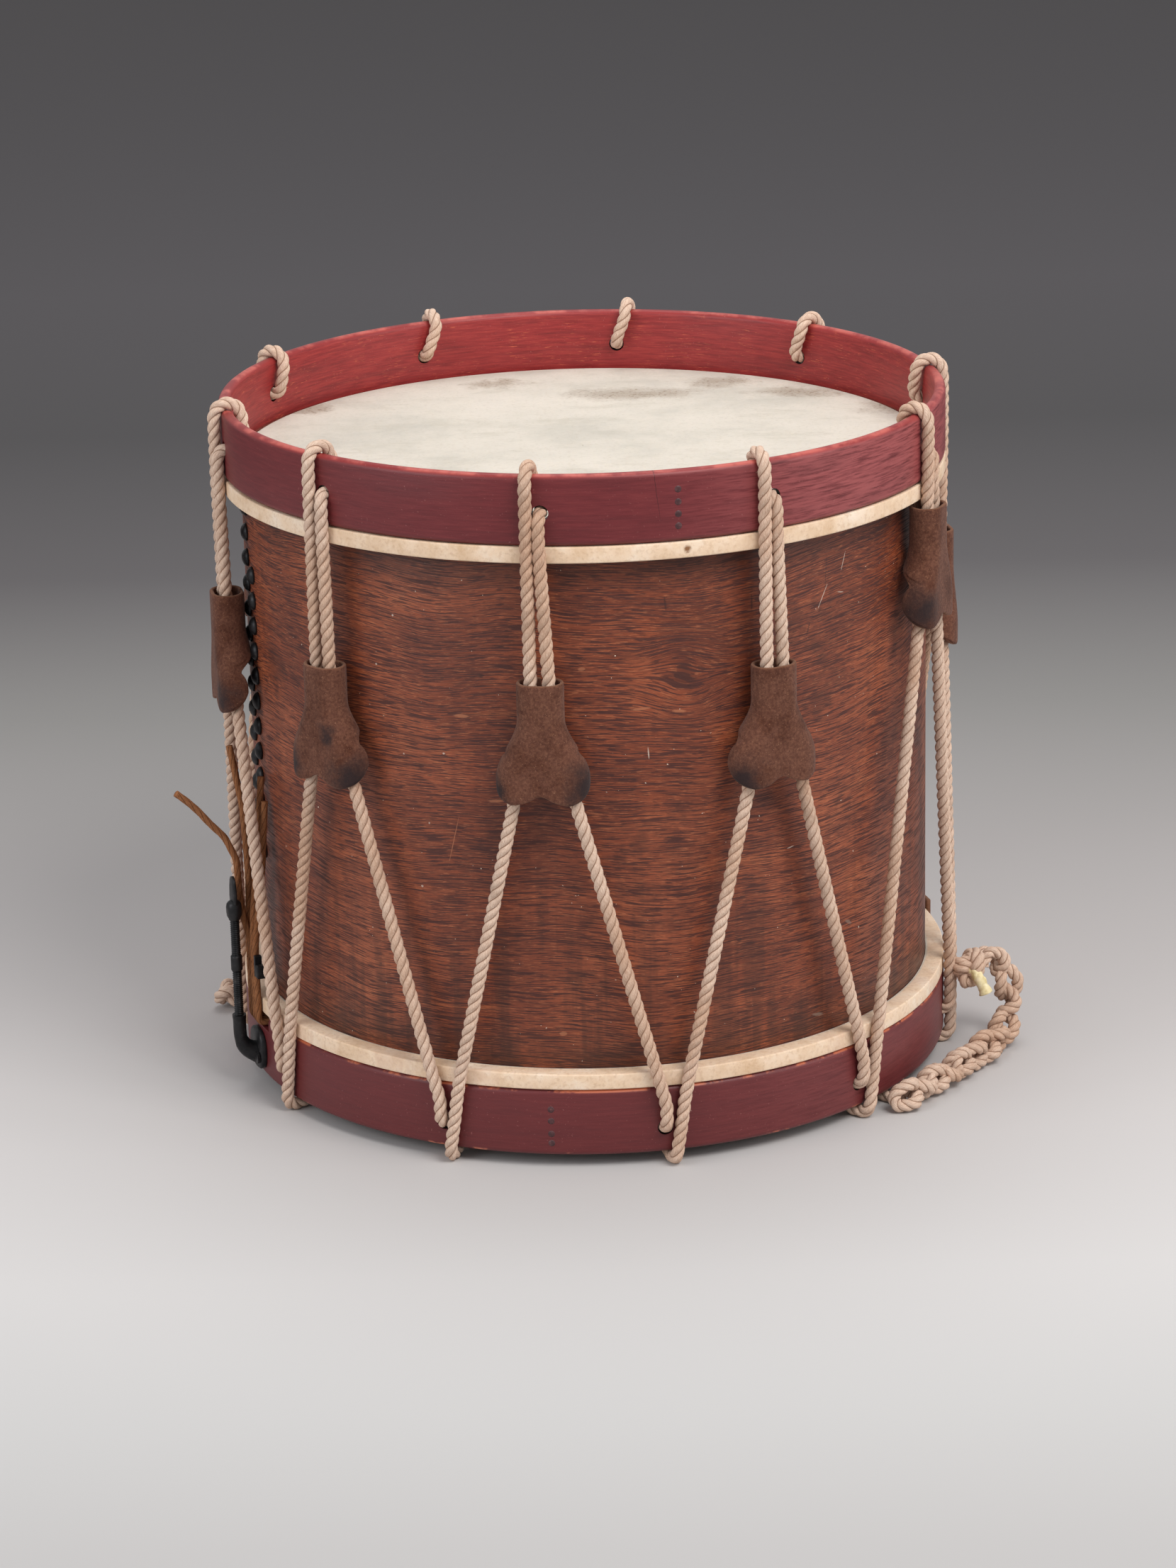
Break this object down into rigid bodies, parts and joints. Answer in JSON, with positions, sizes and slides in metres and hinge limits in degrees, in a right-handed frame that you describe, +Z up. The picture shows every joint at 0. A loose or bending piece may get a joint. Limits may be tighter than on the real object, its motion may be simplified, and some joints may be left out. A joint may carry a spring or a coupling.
{
  "type": "rope-tensioned field drum",
  "caption": "Deep side drum with a bent wood shell, skin heads, painted hoops, laced tension rope with leather ears, gut snares on a screw strainer and a plaited rope tail.",
  "frame": {"origin": "on the drum's axis, on the surface that the drum stands on, which is the middle of its box", "axes": "+Z up, out of the batter head; -Y to the front, where the row of hoop nails is; +X to the right, where the rope is knotted"},
  "size_m": [0.5109, 0.4542, 0.4176],
  "materials": {
    "oak": "dark brown varnish worn to a low sheen, lighter oak grain showing through, fine cracks",
    "inner_wood": "bare unfinished ash",
    "hoop_paint": "old dark red paint, brighter and worn at the edges and inside, over bent ash",
    "skin": "dry rawhide, cream with faint brown clouding and pores",
    "rope": "three-strand laid hemp or linen rope, aged beige, dull",
    "suede": "rough brown suede side out, darkened where handled",
    "iron": "blackened iron, slightly worn",
    "gut": "twisted brown gut, semi-gloss"
  },
  "bodies": {
    "drum": {"shell": "oak", "batter_glue_ring": "inner_wood", "snare_glue_ring": "inner_wood", "batter_flesh_hoop": "inner_wood", "snare_flesh_hoop": "inner_wood", "batter_counterhoop": "hoop_paint", "snare_counterhoop": "hoop_paint", "batter_head": "skin", "snare_head": "skin", "tension_rope_1": "rope", "tension_rope_2": "rope", "tension_rope_3": "rope", "tension_rope_4": "rope", "tension_rope_5": "rope", "tension_rope_6": "rope", "tension_rope_7": "rope", "tension_rope_8": "rope", "tension_rope_9": "rope", "tension_rope_10": "rope", "rope_foot_1": "rope", "rope_foot_2": "rope", "rope_foot_3": "rope", "rope_foot_4": "rope", "rope_foot_5": "rope", "rope_foot_6": "rope", "rope_foot_7": "rope", "rope_foot_8": "rope", "rope_foot_9": "rope", "rope_foot_10": "rope", "rope_knot": "rope", "tail_plait": "rope", "tail_rope": "rope", "tail_knot": "rope", "butt_leather": "suede", "strainer_bracket": "iron", "bracket_screw_1": "iron", "bracket_screw_2": "iron", "butt_screw_1": "iron", "butt_screw_2": "iron", "snare_gut_1": "gut", "snare_gut_2": "gut"},
    "ear_1": {"leather_ear_1": "suede"},
    "ear_2": {"leather_ear_2": "suede"},
    "ear_3": {"leather_ear_3": "suede"},
    "ear_4": {"leather_ear_4": "suede"},
    "ear_5": {"leather_ear_5": "suede"},
    "ear_6": {"leather_ear_6": "suede"},
    "ear_7": {"leather_ear_7": "suede"},
    "ear_8": {"leather_ear_8": "suede"},
    "ear_9": {"leather_ear_9": "suede"},
    "ear_10": {"leather_ear_10": "suede"},
    "screw": {"strainer_screw": "iron"},
    "carriage": {"strainer_carriage": "iron", "gut_tail_1": "gut", "gut_tail_2": "gut", "gut_tail_3": "gut", "gut_tail_4": "gut"},
    "jaw": {"strainer_jaw": "iron"},
    "bolt": {"clamp_bolt": "iron"}
  },
  "joints": [
    {"name": "ear_1_slide", "type": "slide", "parent": "drum", "child": "ear_1", "axis": [0, 0, 1], "range_m": [-0.00781, 0.06316], "deforming": ["tension_rope_1"]},
    {"name": "ear_2_slide", "type": "slide", "parent": "drum", "child": "ear_2", "axis": [0, 0, 1], "range_m": [-0.00852, 0.06245], "deforming": ["tension_rope_2"]},
    {"name": "ear_3_slide", "type": "slide", "parent": "drum", "child": "ear_3", "axis": [0, 0, 1], "range_m": [-0.07097, 0], "deforming": ["tension_rope_3"]},
    {"name": "ear_4_slide", "type": "slide", "parent": "drum", "child": "ear_4", "axis": [0, 0, 1], "range_m": [-0.02271, 0.04826], "deforming": ["tension_rope_4"]},
    {"name": "ear_5_slide", "type": "slide", "parent": "drum", "child": "ear_5", "axis": [0, 0, 1], "range_m": [-0.01419, 0.05678], "deforming": ["tension_rope_5"]},
    {"name": "ear_6_slide", "type": "slide", "parent": "drum", "child": "ear_6", "axis": [0, 0, 1], "range_m": [-0.01136, 0.05961], "deforming": ["tension_rope_6"]},
    {"name": "ear_7_slide", "type": "slide", "parent": "drum", "child": "ear_7", "axis": [0, 0, 1], "range_m": [-0.02342, 0.04755], "deforming": ["tension_rope_7"]},
    {"name": "ear_8_slide", "type": "slide", "parent": "drum", "child": "ear_8", "axis": [0, 0, 1], "range_m": [-0.03407, 0.0369], "deforming": ["tension_rope_8"]},
    {"name": "ear_9_slide", "type": "slide", "parent": "drum", "child": "ear_9", "axis": [0, 0, 1], "range_m": [-0.01739, 0.05358], "deforming": ["tension_rope_9"]},
    {"name": "ear_10_slide", "type": "slide", "parent": "drum", "child": "ear_10", "axis": [0, 0, 1], "range_m": [-0.00426, 0.06671], "deforming": ["tension_rope_10"]},
    {"name": "screw_turn", "type": "hinge", "parent": "drum", "child": "screw", "pos_m": [-0.21404, -0.07622, 0.0767], "axis": [0, 0, 1], "range_deg": [-4325, 3965]},
    {"name": "carriage_slide", "type": "slide", "parent": "drum", "child": "carriage", "axis": [0, 0, 1], "range_m": [-0.01375, 0.015], "deforming": ["snare_gut_1", "snare_gut_2"]},
    {"name": "bolt_turn", "type": "hinge", "parent": "jaw", "child": "bolt", "pos_m": [-0.20443, -0.07279, 0.0792], "axis": [0.3355, -0.9421, 0], "range_deg": [0, 721]},
    {"name": "jaw_slide", "type": "slide", "parent": "carriage", "child": "jaw", "axis": [0.3355, -0.9421, 0], "range_m": [0, 0.0016]}
  ],
  "couplings": [
    {"joint": "screw_turn", "follows": "carriage_slide", "rad_per_m": -5026.5},
    {"joint": "bolt_turn", "follows": "jaw_slide", "rad_per_m": 7854}
  ]
}
